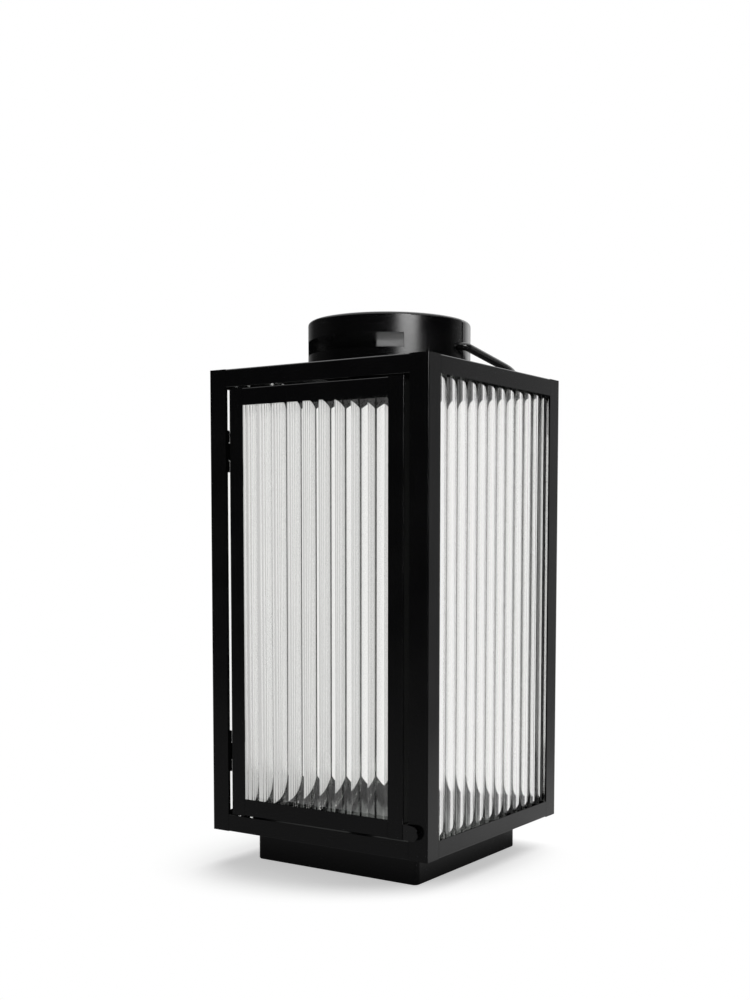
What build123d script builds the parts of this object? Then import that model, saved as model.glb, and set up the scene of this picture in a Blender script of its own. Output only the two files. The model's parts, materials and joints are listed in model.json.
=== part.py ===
from build123d import *

import os
from math import asin, atan2, ceil, cos, degrees, floor, hypot, radians, sin, sqrt, tan

# A square candle lantern of folded sheet steel: four corner posts and eight rails carry a roof
# with a round vented chimney, a floor on an inset plinth, three fixed panes of fluted glass and a
# hinged glazed door. A wire bail swings on the chimney. Sizes are millimetres and angles degrees.
# +Z is up, -Y is the door's side, and the origin is the middle of the plinth's underside.

# Body
BODY_W = 160.0  # outside width and depth
BODY_H = 286.5  # from the underside of the bottom rails to the roof's edge
SHEET = 0.8  # thickness of all folded steel
BEND_IN = 0.2  # inside radius of a fold
POST_LEG = 12.7  # leg of the angle used for posts and for the rails' flat legs
TOP_RAIL_H = 10.7
BOTTOM_RAIL_H = 10.4
WELD_GAP = 0.15  # seam left between welded pieces
FIT = 0.2  # clearance of a piece laid against its seat

# Plinth
PLINTH_INSET = 6.9  # plinth's walls in from the edges of the rails' flat legs
PLINTH_H = 20.5  # shown below the bottom rails
PLINTH_R = 3.5  # upright corners

# Chimney
CHIMNEY_D = 102.6
RIM_IN = 1.1  # inside radius of the rolled rim
RIM_LIP = 3.5  # flat of the rim, measured in from the wall's outside
THROAT_LEDGE = 8.0  # roof left showing inside the chimney, round the hot-air hole
VENT_RISE = 15.4  # middle of the slots above the roof's edge
VENT_H = 8.6
VENT_SPAN = 98.7  # length of each slot round the wall
VENT_TURN = -5.65  # how far the pair of slots is turned from the door's side
LID_ABOVE_VENT = 3.2  # underside of the lid above the slots
RIM_ABOVE_LID = 9.0  # top of the rim above the lid's underside
SEAM_W = 1.6  # butt seam of the rolled wall
SEAM_DEPTH = 0.4
SEAM_TURN = 4.8  # from +X

# Bail
WIRE_D = 5.0
BAIL_RISE = 14.7  # middle of the bail's holes above the roof's edge
PIVOT_CLEAR = 0.08  # running clearance of the wire in its hole
BAIL_CLEAR = 0.3  # straight wire between the wall and the bend
BAIL_BEND = 4.0  # middle of the wire
BAIL_LEG = 50.0  # from the pivot to the start of the hoop
BAIL_TAIL = 5.3  # wire end inside the wall
BAIL_REST_GAP = 0.3  # folded bail above the edge of the roof

# Glass
GLASS_T = 5.0  # over the ridges
FLUTE_PITCH = 11.67
FLUTE_DEPTH = 1.4
FLUTE_LEAST = 0.2  # narrowest part of a flute left at an upright edge
DOOR_RIDGE = 3.75  # a ridge of the door's pane, from the pane's middle
SIDE_RIDGE = -1.2  # the same in the fixed panes
PANE_CORNER_GAP = 0.3
PANE_TOP_GAP = 0.5
CLIP_T = 1.0
CLIP_W = 14.0
CLIP_FOOT = 9.0
CLIP_UP = 7.0
CLIP_INSET = 33.3  # middle of a clip from the pane's upright edge

# Door
HINGE_GAP = 2.8
LATCH_GAP = 3.8
SILL_GAP = 0.8
HEAD_GAP = 1.2
DOOR_FACE = 10.5  # shown width of the door's rails and latch stile
HINGE_FACE = 10.4  # shown width of the hinge stile
DOOR_DEPTH = 8.4
DOOR_PANE_GAP = 0.4
DOOR_CLIP_TONGUE = 4.0
DOOR_CLIP_FOOT = 2.0
DOOR_CLIP_INSET = 52.1  # middle of a clip from the door's top or foot

# Hinges
HINGE_H = 25.0
HINGE_MID_H = 11.0  # middle knuckle, on the door's leaf
HINGE_FROM_TOP = 38.3  # middle of the upper hinge below the door's top
HINGE_FROM_FOOT = 39.6  # middle of the lower hinge above the door's foot
HINGE_SET = 0.5  # pin's axis behind the faces of the post and the door
PIN_D = 1.0
KNUCKLE_CLEAR = 0.3  # knuckles kept off the edges of the post and the door
KNUCKLE_SPLIT = 0.3
KNUCKLE_SWING = 0.35  # leaf kept off the other leaf's knuckles
PIN_CLEAR = 0.05  # running clearance in the door's knuckle
PIN_GRIP = 0.02  # play in the post's knuckles, which hold the pin
PIN_HEAD_D = 1.8
PIN_HEAD_H = 0.5
LEAF_T = 0.7
POST_LEAF_W = 11.0
DOOR_LEAF_W = 6.4

# Pull
PULL_T = 0.8
PULL_H = 8.9
PULL_RISE = 0.65  # above the door's foot
PULL_REACH = 12.1  # across the gap and over the post
PULL_LEAN = 17.0  # slope of the tongue, away from the post
PULL_ROOT = 8.0  # strip welded along the stile's side, behind the door's face
PULL_PROUD = 0.3  # fold of the strip before the door's face
PULL_END_R = 4.2  # corners of the free end

# Levels and faces that several pieces share
half = BODY_W / 2
inner = half - SHEET
window = half - POST_LEG
floor_z = PLINTH_H
top_z = PLINTH_H + BODY_H
floor_top = floor_z + 2 * SHEET
roof_under = top_z - 2 * SHEET
pane_out = inner - FIT
pane_in = pane_out - GLASS_T
pane_half = pane_in - PANE_CORNER_GAP
chimney_r = CHIMNEY_D / 2
chimney_in = chimney_r - SHEET
vent_z = top_z + VENT_RISE
bail_z = top_z + BAIL_RISE
lid_z = vent_z + VENT_H / 2 + LID_ABOVE_VENT
rim_z = lid_z + RIM_ABOVE_LID
wire_r = WIRE_D / 2
bail_x = chimney_r + BAIL_CLEAR + BAIL_BEND
door_left = HINGE_GAP - window
door_right = window - LATCH_GAP
door_foot = floor_z + BOTTOM_RAIL_H + SILL_GAP
door_top = top_z - TOP_RAIL_H - HEAD_GAP
hinge_x = -window + HINGE_GAP / 2
pin_r = PIN_D / 2
knuckle_r = HINGE_GAP / 2 - KNUCKLE_CLEAR
hinge_y = HINGE_SET - half

SIDES = {"front": 0, "right": 90, "back": 180, "left": 270}
CORNERS = {"front_left": 0, "front_right": 90, "back_right": 180, "back_left": 270}


def box(low, high):
    """Block between two opposite corners."""
    size = [b - a for a, b in zip(low, high)]
    return Pos(*low) * Box(*size, align=(Align.MIN, Align.MIN, Align.MIN))


def angle_section(a, b, t):
    """Folded L: outer corner at the origin, a leg of length a along X and one of length b along Y."""
    flat = Polygon((0, 0), (a, 0), (a, t), (t, t), (t, b), (0, b), align=None)
    flat = fillet(flat.vertices().sort_by_distance((0, 0, 0))[0], t + BEND_IN)
    return fillet(flat.vertices().sort_by_distance((t, t, 0))[0], BEND_IN)


def post():
    """Corner post at the front left."""
    return extrude(Pos(-half, -half, floor_z) * angle_section(POST_LEG, POST_LEG, SHEET), BODY_H)


def angle_bar(x0, x1, face, leg, t):
    """Angle along X with its outer edge on the X axis, the face standing up and the leg going back."""
    section = Plane.YZ * angle_section(leg, face, t)
    return extrude(Pos(x0, 0, 0) * section, x1 - x0)


def coped_bar(x0, x1, cope0, cope1, face, leg, t):
    """Angle bar whose flat leg runs on past both ends of its face, inside the uprights that it joins."""
    bar = angle_bar(x0, x1, face, leg, t)
    back = t + WELD_GAP
    return bar + box((x0 - cope0, back, 0), (x0, leg, t)) + box((x1, back, 0), (x1 + cope1, leg, t))


def frame_rails():
    """Bottom rails stand on their flat legs and top rails hang from theirs; two pairs are coped."""
    end = window - WELD_GAP
    rails = {}
    for side, turn in SIDES.items():
        cope = inner - window if side in ("front", "back") else 0
        for level, height, z in (("bottom", BOTTOM_RAIL_H, floor_z), ("top", TOP_RAIL_H, top_z)):
            if cope:
                bar = coped_bar(-end, end, cope, cope, height, POST_LEG, SHEET)
            else:
                bar = angle_bar(-end, end, height, POST_LEG, SHEET)
            if level == "top":
                bar = mirror(bar, Plane.XY)
            rails[f"{level}_rail_{side}"] = Rot(0, 0, turn) * Pos(0, -half, z) * bar
    return rails


def roof_plate():
    """Sheet under the top rails' flat legs, with the hot-air hole."""
    edge = 2 * (inner - BEND_IN - FIT)
    plate = Pos(0, 0, roof_under) * extrude(Rectangle(edge, edge), SHEET)
    return plate - Pos(0, 0, roof_under) * Cylinder(chimney_in - THROAT_LEDGE, 4 * SHEET)


def floor_plate():
    """Sheet on the bottom rails' flat legs, inside the glass clips."""
    edge = 2 * (pane_in - 2 * FIT - CLIP_T)
    return Pos(0, 0, floor_z + SHEET) * extrude(Rectangle(edge, edge), SHEET)


def plinth():
    """Pan that stands on its flat bottom and is welded under the floor by its upright walls."""
    width = 2 * (window - PLINTH_INSET)
    height = floor_z + SHEET
    outside = extrude(RectangleRounded(width, width, PLINTH_R), height)
    outside = fillet(outside.edges().group_by(Axis.Z)[0], SHEET + BEND_IN)
    clear = width - 2 * SHEET
    hollow = extrude(RectangleRounded(clear, clear, PLINTH_R - SHEET), height)
    return outside - Pos(0, 0, SHEET) * hollow


def chimney_collar():
    """Rolled wall with a rim turned in at the top, two long slots and the bail's two holes."""
    foot = top_z - SHEET
    turn = rim_z - SHEET - RIM_IN
    bend_r = chimney_in - RIM_IN
    lip_r = chimney_r - RIM_LIP
    profile = [
        Line((chimney_r, foot), (chimney_r, turn)),
        CenterArc((bend_r, turn), SHEET + RIM_IN, 0, 90),
        Line((bend_r, rim_z), (lip_r, rim_z)),
        Line((lip_r, rim_z), (lip_r, rim_z - SHEET)),
        Line((lip_r, rim_z - SHEET), (bend_r, rim_z - SHEET)),
        CenterArc((bend_r, turn), RIM_IN, 90, -90),
        Line((chimney_in, turn), (chimney_in, foot)),
        Line((chimney_in, foot), (chimney_r, foot)),
    ]
    wall = revolve(Plane.XZ * make_face(profile), Axis.Z)
    cut = Plane.XZ * Pos((chimney_in + chimney_r) / 2, vent_z) * Rectangle(4 * SHEET, VENT_H)
    slot = revolve(cut, Axis.Z, VENT_SPAN)
    for facing in (-90, 90):
        wall -= Rot(0, 0, facing + VENT_TURN - VENT_SPAN / 2) * slot
    hole = Cylinder(wire_r + PIVOT_CLEAR, 2 * CHIMNEY_D)
    wall -= Pos(0, 0, bail_z) * Rot(0, 90, 0) * hole
    seam = box((chimney_r - SEAM_DEPTH, -SEAM_W / 2, foot), (chimney_r + SHEET, SEAM_W / 2, turn))
    return wall - Rot(0, 0, SEAM_TURN) * seam


def chimney_lid():
    """Disc welded inside the wall, below the rim and above the slots."""
    return Pos(0, 0, lid_z) * extrude(Circle(chimney_in - FIT), SHEET)


def bail_rest_angle():
    """Slope of the folded bail when its wire lies just over the roof's edge at the back."""
    reach = hypot(half, BAIL_RISE)
    return degrees(atan2(BAIL_RISE, half) - asin((wire_r + BAIL_REST_GAP) / reach))


def bail():
    """Wire hoop: tails through the chimney's holes, two straight legs and a half circle."""
    tail = chimney_in - BAIL_TAIL
    start = bail_x - BAIL_BEND
    path = [
        Line((tail, 0), (start, 0)),
        CenterArc((start, BAIL_BEND), BAIL_BEND, -90, 90),
        Line((bail_x, BAIL_BEND), (bail_x, BAIL_LEG)),
        CenterArc((0, BAIL_LEG), bail_x, 0, 180),
        Line((-bail_x, BAIL_LEG), (-bail_x, BAIL_BEND)),
        CenterArc((-start, BAIL_BEND), BAIL_BEND, 180, 90),
        Line((-start, 0), (-tail, 0)),
    ]
    end = Plane((tail, 0, 0), z_dir=(1, 0, 0))
    hoop = sweep(end * Circle(wire_r), path=Wire(path))
    return Pos(0, 0, bail_z) * Rot(-bail_rest_angle(), 0, 0) * hoop


def fluted_section(width, ridge):
    """Pane cut across: flat inside, hollow flutes outside that meet in ridges, one of them at ridge."""
    flute_r = (FLUTE_PITCH**2 / 4 + FLUTE_DEPTH**2) / (2 * FLUTE_DEPTH)

    def skin(x):
        """Depth of the fluted face below the ridges."""
        off = (x - ridge) % FLUTE_PITCH - FLUTE_PITCH / 2
        return FLUTE_DEPTH - flute_r + sqrt(flute_r**2 - off**2)

    edge = width / 2
    inside = edge - FLUTE_LEAST
    first = ceil((-inside - ridge) / FLUTE_PITCH)
    last = floor((inside - ridge) / FLUTE_PITCH)
    stops = [-edge] + [ridge + n * FLUTE_PITCH for n in range(first, last + 1)] + [edge]
    outline = []
    for a, b in zip(stops, stops[1:]):
        points = [(x, skin(x)) for x in (a, (a + b) / 2, b)]
        outline.append(ThreePointArc(*points))
    corners = [(edge, skin(edge)), (edge, GLASS_T), (-edge, GLASS_T), (-edge, skin(-edge))]
    outline += [Line(a, b) for a, b in zip(corners, corners[1:])]
    return make_face(outline)


def pane(width, ridge, low, high):
    """Upright fluted pane on the door's side, ridges just behind the frame's face."""
    return extrude(Pos(0, -pane_out, low) * fluted_section(width, ridge), high - low)


def pane_clips():
    """Four folded clips behind the front pane's place: two on the floor, two under the roof."""
    clips = []
    for x in (CLIP_INSET - pane_half, pane_half - CLIP_INSET):
        clip = angle_bar(x - CLIP_W / 2, x + CLIP_W / 2, CLIP_UP, CLIP_FOOT, CLIP_T)
        clips.append(Pos(0, FIT - pane_in, floor_top) * clip)
        clips.append(Pos(0, FIT - pane_in, roof_under) * mirror(clip, Plane.XY))
    return clips


def door_stile(face):
    """Upright angle of the door, drawn as a left stile with its outer edge on the Z axis."""
    return extrude(angle_section(face, DOOR_DEPTH, SHEET), door_top - door_foot)


def door_frame():
    """Two full-height stiles with coped rails between them."""
    x0 = door_left + HINGE_FACE + WELD_GAP
    x1 = door_right - DOOR_FACE - WELD_GAP
    rail = coped_bar(x0, x1, HINGE_FACE - SHEET, DOOR_FACE - SHEET, DOOR_FACE, DOOR_DEPTH, SHEET)
    return {
        "door_stile_hinge": Pos(door_left, -half, door_foot) * door_stile(HINGE_FACE),
        "door_stile_latch": Pos(door_right, -half, door_foot) * mirror(door_stile(DOOR_FACE), Plane.YZ),
        "door_rail_bottom": Pos(0, -half, door_foot) * rail,
        "door_rail_top": Pos(0, -half, door_top) * mirror(rail, Plane.XY),
    }


def door_glass():
    """Fluted pane inside the door's angles."""
    margin = SHEET + DOOR_PANE_GAP
    middle = (door_left + door_right) / 2
    width = door_right - door_left - 2 * margin
    return Pos(middle, 0, 0) * pane(width, DOOR_RIDGE, door_foot + margin, door_top - margin)


def door_clips():
    """Clips on the stiles' sides that hold the door's pane from behind."""
    clip = extrude(angle_section(DOOR_CLIP_TONGUE, DOOR_CLIP_FOOT, CLIP_T), CLIP_W)
    clips = []
    for middle in (door_foot + DOOR_CLIP_INSET, door_top - DOOR_CLIP_INSET):
        z = middle - CLIP_W / 2
        clips.append(Pos(door_left + SHEET, FIT - pane_in, z) * clip)
        clips.append(Pos(door_right - SHEET, FIT - pane_in, z) * mirror(clip, Plane.YZ))
    return clips


def knuckle(z0, z1, bore_r):
    """Barrel of a hinge leaf between two heights on the pin's axis."""
    ring = Circle(knuckle_r) - Circle(bore_r)
    return Pos(hinge_x, hinge_y, z0) * extrude(ring, z1 - z0)


def leaf_web(x0, y1, z0, z1):
    """Strip that ties a knuckle to its leaf, outside the pin's bore."""
    return box((x0, hinge_y + pin_r + PIN_CLEAR, z0), (x0 + LEAF_T, y1, z1))


def post_leaf(z0, z1):
    """Leaf flat against the back of the post, with the two end knuckles in the gap beside it."""
    x0 = -window + FIT
    back = LEAF_T - inner
    split = (HINGE_H - HINGE_MID_H + KNUCKLE_SPLIT) / 2
    leaf = box((x0 - POST_LEAF_W, -inner, z0), (x0, back, z1))
    for a, b in ((z0, z0 + split - KNUCKLE_SPLIT), (z1 - split + KNUCKLE_SPLIT, z1)):
        leaf += knuckle(a, b, pin_r + PIN_GRIP) + leaf_web(x0, back, a, b)
    return leaf


def door_leaf(z0, z1):
    """Leaf with the middle knuckle, flat along the side of the door's stile."""
    x0 = door_left - LEAF_T
    y0 = hinge_y + knuckle_r + KNUCKLE_SWING
    split = (HINGE_H - HINGE_MID_H + KNUCKLE_SPLIT) / 2
    leaf = box((x0, y0, z0), (door_left, y0 + DOOR_LEAF_W, z1))
    a, b = z0 + split, z1 - split
    return leaf + knuckle(a, b, pin_r + PIN_CLEAR) + leaf_web(x0, y0, a, b)


def hinge_pin(z0, z1):
    """Pin through the three knuckles with a flat head on the top one."""
    shank = Pos(hinge_x, hinge_y, z0) * extrude(Circle(pin_r), z1 - z0)
    return shank + Pos(hinge_x, hinge_y, z1) * extrude(Circle(PIN_HEAD_D / 2), PIN_HEAD_H)


def door_pull():
    """Folded strip: its root is welded to the stile's side, its rounded tongue leans out over the post."""
    lean = radians(PULL_LEAN)
    root = PULL_PROUD + PULL_ROOT
    tip = (PULL_REACH, -PULL_REACH * tan(lean))
    tip_back = (tip[0] + PULL_T * sin(lean), tip[1] + PULL_T * cos(lean))
    crease = (PULL_T, PULL_T * (1 - sin(lean)) / cos(lean))
    strip = Polygon((0, 0), tip, tip_back, crease, (PULL_T, root), (0, root), align=None)
    strip = fillet(strip.vertices().sort_by_distance((0, 0, 0))[0], PULL_T + BEND_IN)
    strip = fillet(strip.vertices().sort_by_distance((*crease, 0))[0], BEND_IN)
    strip = extrude(strip, PULL_H)
    free_end = strip.edges().filter_by(Axis((0, 0, 0), (sin(lean), cos(lean), 0)))
    strip = fillet(free_end, PULL_END_R)
    return Pos(door_right, -half - PULL_PROUD, door_foot + PULL_RISE) * strip


def lantern():
    """Every piece by its node's name."""
    nodes = {f"post_{name}": Rot(0, 0, turn) * post() for name, turn in CORNERS.items()}
    nodes |= frame_rails()
    nodes["roof_plate"] = roof_plate()
    nodes["floor_plate"] = floor_plate()
    nodes["plinth"] = plinth()
    nodes["chimney_collar"] = chimney_collar()
    nodes["chimney_lid"] = chimney_lid()
    nodes["bail"] = bail()
    for side in ("right", "back", "left"):
        turn = Rot(0, 0, SIDES[side])
        low, high = floor_z + SHEET + FIT, roof_under - PANE_TOP_GAP
        nodes[f"glass_{side}"] = turn * pane(2 * pane_half, SIDE_RIDGE, low, high)
        nodes[f"glass_clips_{side}"] = Compound([turn * clip for clip in pane_clips()])
    nodes |= door_frame()
    nodes["door_glass"] = door_glass()
    nodes["door_glass_clips"] = Compound(door_clips())
    for level, middle in (("upper", door_top - HINGE_FROM_TOP), ("lower", door_foot + HINGE_FROM_FOOT)):
        z0, z1 = middle - HINGE_H / 2, middle + HINGE_H / 2
        nodes[f"hinge_post_leaf_{level}"] = post_leaf(z0, z1)
        nodes[f"hinge_door_leaf_{level}"] = door_leaf(z0, z1)
        nodes[f"hinge_pin_{level}"] = hinge_pin(z0, z1)
    nodes["door_pull"] = door_pull()
    return nodes


os.makedirs("parts", exist_ok=True)
for node, shape in lantern().items():
    export_step(shape, f"parts/{node}.step")
print(f"door hinge axis x {hinge_x:.3f} y {hinge_y:.3f}; bail axis z {bail_z:.3f}")
print(f"folded bail slopes {bail_rest_angle():.3f} degrees")
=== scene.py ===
import json
import math

import bpy
import numpy as np
from mathutils import Matrix, Vector


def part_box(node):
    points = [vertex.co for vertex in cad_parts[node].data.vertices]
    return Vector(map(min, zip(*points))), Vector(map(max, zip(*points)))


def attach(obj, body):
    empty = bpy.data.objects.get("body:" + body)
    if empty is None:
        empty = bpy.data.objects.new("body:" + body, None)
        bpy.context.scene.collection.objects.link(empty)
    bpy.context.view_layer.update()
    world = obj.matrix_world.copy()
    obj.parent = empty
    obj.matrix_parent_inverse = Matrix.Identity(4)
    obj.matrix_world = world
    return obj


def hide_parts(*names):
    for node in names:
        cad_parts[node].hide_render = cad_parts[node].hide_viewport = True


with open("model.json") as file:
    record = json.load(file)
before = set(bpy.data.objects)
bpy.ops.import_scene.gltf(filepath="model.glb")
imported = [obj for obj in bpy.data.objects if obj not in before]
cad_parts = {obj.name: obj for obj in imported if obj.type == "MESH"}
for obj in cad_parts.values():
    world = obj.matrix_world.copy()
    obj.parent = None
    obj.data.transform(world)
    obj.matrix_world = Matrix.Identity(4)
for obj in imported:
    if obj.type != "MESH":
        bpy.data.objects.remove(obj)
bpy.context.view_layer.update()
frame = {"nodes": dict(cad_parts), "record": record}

MM = 0.001

# Fluted glass, as rolled: sizes in millimetres, the same as the panes that it stands for
FLUTE_PITCH = 11.67
FLUTE_DEPTH = 1.4
DOOR_RIDGE = 3.75  # a ridge of the door's pane, from the pane's middle
SIDE_RIDGE = -1.2  # the same in the fixed panes
FLUTE_STEPS = 24  # steps of the grid across a flute
PANE_ROWS = 48
RIDGE_SHARP_DEG = 20
WAVE_MM = 14
WAVE_DEPTH_MM = 0.0015

# Black paint
PAINT_DARK = "#060607"
PAINT_LIGHT = "#09090A"
CLOUD_MM = 28
CLOUD_EDGES = (0.3, 0.7)
CLOUD_GLOSS = (-0.04, 0.05)  # what the clouds take from the roughness and add to it

# Camera, from the corners of the square body in the photograph
CAMERA_AT = (0.46415, -0.68867, 0.20461)
CAMERA_FORWARD = (-0.541213, 0.837733, -0.072746)
CAMERA_ROLL_DEG = 0.160
CAMERA_LENS = 46.499
CAMERA_SENSOR = 36
CAMERA_SHIFT = (-0.03917, 0.13181)


def linear(code, alpha=1.0):
    """Linear colour of an sRGB hex code: the standard curve on each of its three channels."""
    parts = [int(code[i:i + 2], 16) / 255 for i in (1, 3, 5)]
    return (*(c / 12.92 if c <= 0.04045 else ((c + 0.055) / 1.055) ** 2.4 for c in parts), alpha)


WHITE = linear("#FFFFFF")


def add(tree, kind, sockets=None, **settings):
    """One shader node: its settings, then its sockets, each a value or the output that feeds it."""
    made = tree.nodes.new("ShaderNode" + kind)
    for key, value in settings.items():
        setattr(made, key, value)
    for key, value in (sockets or {}).items():
        if isinstance(value, bpy.types.NodeSocket):
            tree.links.new(value, made.inputs[key])
        else:
            made.inputs[key].default_value = value
    return made


def new_material(name):
    """Empty node material and its output."""
    material = bpy.data.materials.new(name)
    material.use_nodes = True
    material.node_tree.nodes.clear()
    return material, material.node_tree, add(material.node_tree, "OutputMaterial")


def per_mm(size):
    """Noise scale whose cells are about this many millimetres across."""
    return 1 / (size * MM)


def powder_coat(name, roughness, peel_mm, peel_depth_mm, shine=0.5):
    """Black polyester powder coat, sprayed and baked on sheet steel: a deep black with a soft gloss, an
    orange peel of a few millimetres that stirs the reflections, and cloudy patches a little duller than
    the rest."""
    material, tree, out = new_material(name)
    place = add(tree, "TexCoord").outputs["Object"]
    cloud = add(tree, "TexNoise", {"Vector": place, "Scale": per_mm(CLOUD_MM), "Detail": 3.0,
                                   "Roughness": 0.55}).outputs["Fac"]
    tint = add(tree, "MixRGB", {"Fac": cloud, "Color1": linear(PAINT_DARK), "Color2": linear(PAINT_LIGHT)})
    gloss = add(tree, "MapRange", {"Value": cloud, "From Min": CLOUD_EDGES[0], "From Max": CLOUD_EDGES[1],
                                   "To Min": roughness + CLOUD_GLOSS[0], "To Max": roughness + CLOUD_GLOSS[1]})
    peel = add(tree, "TexNoise", {"Vector": place, "Scale": per_mm(peel_mm), "Detail": 2.0, "Roughness": 0.4})
    bump = add(tree, "Bump", {"Height": peel.outputs["Fac"], "Strength": 1.0, "Distance": peel_depth_mm * MM})
    coat = add(tree, "BsdfPrincipled", {"Base Color": tint.outputs["Color"], "Roughness": gloss.outputs["Result"],
                                        "IOR": 1.5, "Specular IOR Level": shine,
                                        "Normal": bump.outputs["Normal"]})
    tree.links.new(coat.outputs["BSDF"], out.inputs["Surface"])
    return material


def thrown_back(tree):
    """Switch that is 1 for a ray that gloss threw back, and 0 for one that went through glass last."""
    path = add(tree, "LightPath")
    return add(tree, "Math", {0: path.outputs["Is Glossy Ray"], 1: path.outputs["Is Transmission Ray"]},
               operation="SUBTRACT", use_clamp=True).outputs["Value"]


def clear_glass(name):
    """Clear soda-lime glass, rolled with flutes: bends what is behind it and has a trace of waviness from the
    roller. Lamps, and what the paint reflects, go straight through it; paint seen bare gets less through it, a
    painted shade on its reflections that stands partly for light the flutes lose aslant and partly for the shade
    in narrow gaps such as the one at the latch."""
    material, tree, out = new_material(name)
    place = add(tree, "TexCoord").outputs["Object"]
    wave = add(tree, "TexNoise", {"Vector": place, "Scale": per_mm(WAVE_MM), "Detail": 1.0})
    bump = add(tree, "Bump", {"Height": wave.outputs["Fac"], "Strength": 1.0, "Distance": WAVE_DEPTH_MM * MM})
    glass = add(tree, "BsdfPrincipled", {"Base Color": linear("#FDFDFC"), "Roughness": 0.0, "IOR": 1.52,
                                         "Transmission Weight": 1.0, "Normal": bump.outputs["Normal"]})
    path = add(tree, "LightPath")
    back = thrown_back(tree)
    # painted shade: what bare paint reflects passes the pane dimmed to the second, grey colour
    bare = add(tree, "Math", {0: back, 1: path.outputs["Transmission Depth"]}, operation="SUBTRACT",
               use_clamp=True)
    passed = add(tree, "MixRGB", {"Fac": bare.outputs["Value"], "Color1": linear("#F2F4F2"),
                                  "Color2": linear("#B3B4B3")})
    clear = add(tree, "BsdfTransparent", {"Color": passed.outputs["Color"]})
    facing_away = add(tree, "NewGeometry").outputs["Backfacing"]
    entering = add(tree, "Math", {0: 1.0, 1: facing_away}, operation="SUBTRACT")
    inside = add(tree, "Math", {0: entering.outputs["Value"], 1: path.outputs["Transparent Depth"]},
                 use_clamp=True)
    mirrored = add(tree, "Math", {0: back, 1: inside.outputs["Value"]}, operation="MULTIPLY")
    straight = add(tree, "Math", {0: mirrored.outputs["Value"], 1: path.outputs["Is Shadow Ray"]},
                   operation="MAXIMUM")
    mix = add(tree, "MixShader", {0: straight.outputs["Value"], 1: glass.outputs["BSDF"],
                                  2: clear.outputs["BSDF"]})
    tree.links.new(mix.outputs["Shader"], out.inputs["Surface"])
    return material


GLASS = clear_glass("fluted clear glass")
FINISHES = {
    "frame_paint": powder_coat("black powder coat, frame", 0.15, 2.2, 0.012),
    "chimney_paint": powder_coat("black powder coat, chimney", 0.2, 2.6, 0.012),
    "wire_paint": powder_coat("black powder coat, wire", 0.26, 1.6, 0.012),
    "hinge_paint": powder_coat("black paint, hinges", 0.4, 1.2, 0.015, shine=0.0),
    "fluted_glass": GLASS,
}

for part in frame["record"]["subparts"]:
    mesh = frame["nodes"][part["node"]].data
    mesh.materials.clear()
    mesh.materials.append(FINISHES[part["material_slot"]])


def closed_plate(front, back):
    """Vertices and faces of a plate between two grids of rows by columns of points: the front skin, the
    back skin turned round, and a strip along each of the four edges."""
    rows, columns = front.shape[:2]
    index = np.arange(rows * columns).reshape(rows, columns)
    skin = [index[:-1, :-1], index[:-1, 1:], index[1:, 1:], index[1:, :-1]]
    faces = [np.stack(skin, -1).reshape(-1, 4)]
    faces.append(faces[0][:, ::-1] + rows * columns)
    rim = np.concatenate([index[0, :], index[1:, -1], index[-1, -2::-1], index[-2:0:-1, 0]])
    rim_behind = rim + rows * columns
    faces.append(np.stack([rim, rim_behind, np.roll(rim_behind, -1), np.roll(rim, -1)], -1))
    return np.concatenate([front.reshape(-1, 3), back.reshape(-1, 3)]), np.concatenate(faces)


def add_mesh(name, points, faces, material):
    """Mesh object at the origin from lists of points in metres and of faces."""
    mesh = bpy.data.meshes.new(name)
    mesh.from_pydata(points, [], faces)
    mesh.materials.append(material)
    piece = bpy.data.objects.new(name, mesh)
    bpy.context.scene.collection.objects.link(piece)
    return piece


def fluted_pane(node, name, body, turn_deg, ridge):
    """Pane in a node's place, worked out on the door's side and turned about Z. Across the pane, the fluted
    skin is a row of hollow circle arcs that meet in sharp ridges, one of them this far from the middle; the
    back is flat."""
    low, high = (np.array(corner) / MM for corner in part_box(node))
    turn = math.radians(turn_deg)
    back_turn = np.array([[math.cos(turn), math.sin(turn), 0], [-math.sin(turn), math.cos(turn), 0], [0, 0, 1]])
    corners = np.stack([low, high]) @ back_turn.T
    (x0, y0, z0), (x1, y1, z1) = corners.min(0), corners.max(0)
    middle, half = (x0 + x1) / 2, (x1 - x0) / 2
    count = math.ceil(half / FLUTE_PITCH) + 1
    steps = np.arange(-count * FLUTE_STEPS, count * FLUTE_STEPS + 1)
    across = np.unique(np.clip(ridge + steps / FLUTE_STEPS * FLUTE_PITCH, -half, half))
    radius = (FLUTE_PITCH**2 / 4 + FLUTE_DEPTH**2) / (2 * FLUTE_DEPTH)
    off = np.mod(across - ridge, FLUTE_PITCH) - FLUTE_PITCH / 2
    depth = FLUTE_DEPTH - radius + np.sqrt(radius**2 - off**2)
    x, z = np.meshgrid(across + middle, np.linspace(z0, z1, PANE_ROWS))
    front = np.stack([x, y0 + np.broadcast_to(depth, x.shape), z], -1)
    back = np.stack([x, np.full_like(x, y1), z], -1)
    points, faces = closed_plate(front, back)
    piece = add_mesh(name, (points @ back_turn * MM).tolist(), faces.tolist(), GLASS)
    piece.data.shade_smooth()
    piece.data.set_sharp_from_angle(angle=math.radians(RIDGE_SHARP_DEG))
    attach(piece, body)
    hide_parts(node)


fluted_pane("door_glass", "door_fluted_pane", "door", 0, DOOR_RIDGE)
fluted_pane("glass_right", "right_fluted_pane", "lantern_body", 90, SIDE_RIDGE)
fluted_pane("glass_back", "back_fluted_pane", "lantern_body", 180, SIDE_RIDGE)
fluted_pane("glass_left", "left_fluted_pane", "lantern_body", 270, SIDE_RIDGE)

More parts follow.
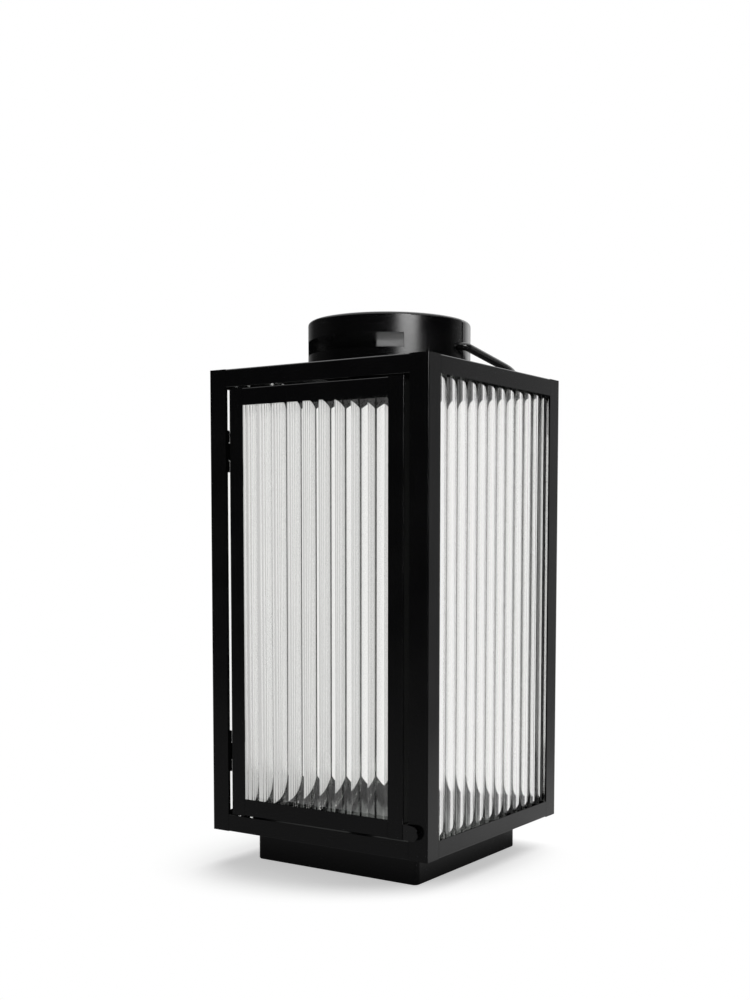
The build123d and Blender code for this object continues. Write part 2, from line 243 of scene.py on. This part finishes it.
# Studio that the eye sees: pale floor, white surround, a soft light overhead
FLOOR_RADIUS = 3.0
FLOOR_SIDES = 96
FLOOR_MIDDLE = (-0.009, -0.009, 0.0)  # of the oval of paper that shows the shadow
FLOOR_WAYS = ((0.48, 0.64, 0.0), (0.8, -0.6, 0.0))  # along the oval and across it
FLOOR_FADE = (0.07, 0.118)  # from the shaded paper to an even white
FLOOR_GLOW = 0.49
OVERHEAD_AT = (-0.2, 2.8, 6.0)
OVERHEAD_SIZE = 6.5
OVERHEAD_RADIANCE = 2.5
MATT_LEVEL = 0.15
THROUGH_GLASS = (0.6, 1.0)  # level of the surround through two panes, at the sides and behind
SIDE_TO_BACK = (0.4, 0.88)  # how far behind a direction points at those two levels
PANE_SKINS = 2.5  # more than the two skins of one pane

# Room that gloss alone sees; the rise of a direction is its upward part
PAINTED_SHADOW_PATCH = (0.055, 0.14)  # painted shadow that gloss sees on the floor under the body, from the middle to its edge and the end of its fade
# level of the glow that paints the shadow under the body for gloss
PAINTED_SHADOW_LEVEL = 0.05
BACK_WAY = (-0.225, 0.974, 0.0)
BACK_SPREAD = (0.35, 1.05)
FRONT_ROOM = (0.015, 0.155)  # levels above and below the rise that follows
FRONT_RISE = (-0.06, -0.21)
BACK_ROOM = (0.47, 0.94)
BACK_RISE = (-0.145, -0.2)
LIGHT_WAY = (0.866, -0.5, 0.0)
LIGHT_HALF_DEG = 18.5
LIGHT_RISE = (0.12, 0.2)
LIGHT_TOP = (0.5, 0.34)
LIGHT_LEVEL = 15.5
PANEL_WAY = (-0.035, 0.999, 0.0)
PANEL_EDGE_DEG = (17.0, 9.0)
PANEL_LEVEL = 0.85
LEFT_WAY = (-1.0, 0.0, 0.0)
LEFT_SPREAD = (0.7, 1.0)
LEFT_LEVEL = 0.035
CEILING_RISE = (0.45, 0.8)
CEILING_LEVEL = 1.5


def ray_kinds(tree):
    """Two switches for the ray that arrives: 1 if a matt surface sent it, and 1 if gloss threw it back."""
    path = add(tree, "LightPath")
    matt = add(tree, "Math", {0: path.outputs["Diffuse Depth"], 1: 0.5}, operation="GREATER_THAN")
    return matt.outputs["Value"], thrown_back(tree)


def seen_level(tree, way):
    """Level of the surround in a direction: white to the open eye and through one pane, and through two
    panes a shade darker at the sides than behind."""
    path = add(tree, "LightPath")
    glass = add(tree, "Math", {0: path.outputs["Transmission Depth"], 1: PANE_SKINS}, operation="GREATER_THAN")
    behind = add(tree, "VectorMath", {0: way, 1: (0.0, 1.0, 0.0)}, operation="DOT_PRODUCT")
    shade = add(tree, "MapRange", {"Value": behind.outputs["Value"], "From Min": SIDE_TO_BACK[0],
                                   "From Max": SIDE_TO_BACK[1], "To Min": THROUGH_GLASS[0],
                                   "To Max": THROUGH_GLASS[1]}, interpolation_type="SMOOTHSTEP")
    level = add(tree, "Mix", {"Factor": glass.outputs["Value"], "A": 1.0, "B": shade.outputs["Result"]},
                data_type="FLOAT")
    return level.outputs["Result"]


def floor_material():
    """Matt white paper: shows the shadow near the object and fades to an even white further out. Gloss sees only
    a painted shadow under the body, a dim even glow in a square patch, and the room beyond it."""
    material, tree, out = new_material("white paper floor")
    place = add(tree, "TexCoord").outputs["Object"]
    away = add(tree, "VectorMath", {0: place, 1: FLOOR_MIDDLE}, operation="SUBTRACT").outputs["Vector"]
    oval = add(tree, "CombineXYZ")
    for axis, along in zip("XY", FLOOR_WAYS):
        part = add(tree, "VectorMath", {0: away, 1: along}, operation="DOT_PRODUCT")
        tree.links.new(part.outputs["Value"], oval.inputs[axis])
    reach = add(tree, "VectorMath", {0: oval.outputs["Vector"]}, operation="LENGTH")
    fade = add(tree, "MapRange", {"Value": reach.outputs["Value"], "From Min": FLOOR_FADE[0],
                                  "From Max": FLOOR_FADE[1]}, interpolation_type="SMOOTHSTEP")
    paper = add(tree, "BsdfDiffuse", {"Color": linear("#F0F0F0")})
    glow = add(tree, "Emission", {"Color": WHITE, "Strength": FLOOR_GLOW})
    near = add(tree, "AddShader", {0: paper.outputs["BSDF"], 1: glow.outputs["Emission"]})
    way = add(tree, "VectorMath", {0: place}, operation="NORMALIZE").outputs["Vector"]
    far = add(tree, "Emission", {"Color": WHITE, "Strength": seen_level(tree, way)})
    shown = add(tree, "MixShader", {0: fade.outputs["Result"], 1: near.outputs["Shader"],
                                    2: far.outputs["Emission"]})
    # painted shadow for gloss: a dim glow in a square under the body, clear beyond it
    sides = add(tree, "VectorMath", {0: place}, operation="ABSOLUTE").outputs["Vector"]
    sides = add(tree, "SeparateXYZ", {"Vector": sides})
    square = add(tree, "Math", {0: sides.outputs["X"], 1: sides.outputs["Y"]}, operation="MAXIMUM")
    patch = add(tree, "MapRange", {"Value": square.outputs["Value"], "From Min": PAINTED_SHADOW_PATCH[0],
                                   "From Max": PAINTED_SHADOW_PATCH[1]}, interpolation_type="SMOOTHSTEP")
    shade = add(tree, "Emission", {"Color": WHITE, "Strength": PAINTED_SHADOW_LEVEL})
    clear = add(tree, "BsdfTransparent", {"Color": WHITE})
    mirrored = add(tree, "MixShader", {0: patch.outputs["Result"], 1: shade.outputs["Emission"],
                                       2: clear.outputs["BSDF"]})
    matt, gloss = ray_kinds(tree)
    first = add(tree, "MixShader", {0: gloss, 1: shown.outputs["Shader"], 2: mirrored.outputs["Shader"]})
    mix = add(tree, "MixShader", {0: matt, 1: first.outputs["Shader"], 2: paper.outputs["BSDF"]})
    tree.links.new(mix.outputs["Shader"], out.inputs["Surface"])
    return material


def disc_points(radius, sides):
    """Points on a circle at floor level, evenly spaced round it."""
    turn = np.linspace(0, 2 * math.pi, sides, endpoint=False)
    return np.stack([radius * np.cos(turn), radius * np.sin(turn), np.zeros_like(turn)], -1).tolist()


floor = add_mesh("paper_floor", disc_points(FLOOR_RADIUS, FLOOR_SIDES), [list(range(FLOOR_SIDES))],
                 floor_material())


def gloss_level(tree, way):
    """Level of the room that gloss sees in a direction: dim in front, bright behind, paler towards the floor,
    with a bright ceiling, a tall soft light at the right, a bright panel behind and a faint glow at the
    left."""
    rise = add(tree, "SeparateXYZ", {"Vector": way}).outputs["Z"]
    flat = add(tree, "VectorMath", {0: way, 1: (1.0, 1.0, 0.0)}, operation="MULTIPLY").outputs["Vector"]
    round_way = add(tree, "VectorMath", {0: flat}, operation="NORMALIZE").outputs["Vector"]
    behind, beside, facing, leftward = (
        add(tree, "VectorMath", {0: round_way, 1: towards}, operation="DOT_PRODUCT").outputs["Value"]
        for towards in (BACK_WAY, LIGHT_WAY, PANEL_WAY, LEFT_WAY))
    light_edge = math.cos(math.radians(LIGHT_HALF_DEG))
    panel_edges = [math.cos(math.radians(angle)) for angle in PANEL_EDGE_DEG]
    front, back, spread, strip, foot, top, ceiling, panel, left = (
        add(tree, "MapRange", {"Value": value, "From Min": edges[0], "From Max": edges[1], "To Min": levels[0],
                               "To Max": levels[1]}, interpolation_type=kind).outputs["Result"]
        for value, edges, levels, kind in (
            (rise, FRONT_RISE, FRONT_ROOM, "SMOOTHSTEP"),
            (rise, BACK_RISE, BACK_ROOM, "SMOOTHSTEP"),
            (behind, BACK_SPREAD, (0.0, 1.0), "SMOOTHSTEP"),
            (beside, (light_edge, 1.0), (0.0, LIGHT_LEVEL), "SMOOTHERSTEP"),
            (rise, LIGHT_RISE, (0.0, 1.0), "SMOOTHSTEP"),
            (rise, LIGHT_TOP, (0.0, 1.0), "SMOOTHSTEP"),
            (rise, CEILING_RISE, (0.0, CEILING_LEVEL), "SMOOTHSTEP"),
            (facing, panel_edges, (0.0, PANEL_LEVEL), "SMOOTHSTEP"),
            (leftward, LEFT_SPREAD, (0.0, LEFT_LEVEL), "SMOOTHSTEP")))
    level = add(tree, "Mix", {"Factor": spread, "A": front, "B": back}, data_type="FLOAT").outputs["Result"]
    tall = add(tree, "Math", {0: foot, 1: top}, operation="MULTIPLY").outputs["Value"]
    lamp = add(tree, "Math", {0: strip, 1: tall}, operation="MULTIPLY").outputs["Value"]
    for light in (lamp, ceiling, panel, left):
        level = add(tree, "Math", {0: level, 1: light}, operation="ADD").outputs["Value"]
    return level


def studio_world():
    """White wherever the camera looks, also through glass. Matt surfaces get an even light, and gloss sees a
    room of its own."""
    world = bpy.data.worlds.new("studio")
    bpy.context.scene.world = world
    world.use_nodes = True
    world.cycles.sampling_method = "NONE"
    tree = world.node_tree
    tree.nodes.clear()
    out = add(tree, "OutputWorld")
    way = add(tree, "TexCoord").outputs["Generated"]
    matt, gloss = ray_kinds(tree)
    first = add(tree, "Mix", {"Factor": gloss, "A": seen_level(tree, way), "B": gloss_level(tree, way)},
                data_type="FLOAT")
    level = add(tree, "Mix", {"Factor": matt, "A": first.outputs["Result"], "B": MATT_LEVEL}, data_type="FLOAT")
    light = add(tree, "Background", {"Color": WHITE, "Strength": level.outputs["Result"]})
    tree.links.new(light.outputs["Background"], out.inputs["Surface"])


studio_world()


def soft_box(name, at, towards, size, radiance):
    """Square soft light aimed at a point; the power gives its face this radiance."""
    lamp = bpy.data.lights.new(name, "AREA")
    lamp.shape = "RECTANGLE"
    lamp.size = lamp.size_y = size
    lamp.energy = radiance * math.pi * size**2
    box = bpy.data.objects.new(name, lamp)
    box.location = at
    box.rotation_euler = (Vector(towards) - Vector(at)).to_track_quat("-Z", "Y").to_euler()
    bpy.context.scene.collection.objects.link(box)
    return box


overhead = soft_box("overhead_soft_box", OVERHEAD_AT, (0, 0, 0), OVERHEAD_SIZE, OVERHEAD_RADIANCE)
overhead.visible_glossy = False
overhead.visible_transmission = False

camera_data = bpy.data.cameras.new("camera")
camera_data.sensor_width = CAMERA_SENSOR
camera_data.lens = CAMERA_LENS
camera_data.shift_x, camera_data.shift_y = CAMERA_SHIFT
camera = bpy.data.objects.new("camera", camera_data)
camera.location = CAMERA_AT
unrolled = Vector(CAMERA_FORWARD).to_track_quat("-Z", "Y").to_matrix()
camera.rotation_euler = (unrolled @ Matrix.Rotation(math.radians(CAMERA_ROLL_DEG), 3, "Z")).to_euler()
bpy.context.scene.collection.objects.link(camera)
bpy.context.scene.camera = camera

bpy.context.scene.view_settings.view_transform = "Standard"

# Light goes through four panes and back before it is lost
bpy.context.scene.cycles.max_bounces = 24
bpy.context.scene.cycles.transmission_bounces = 24
bpy.context.scene.cycles.glossy_bounces = 12
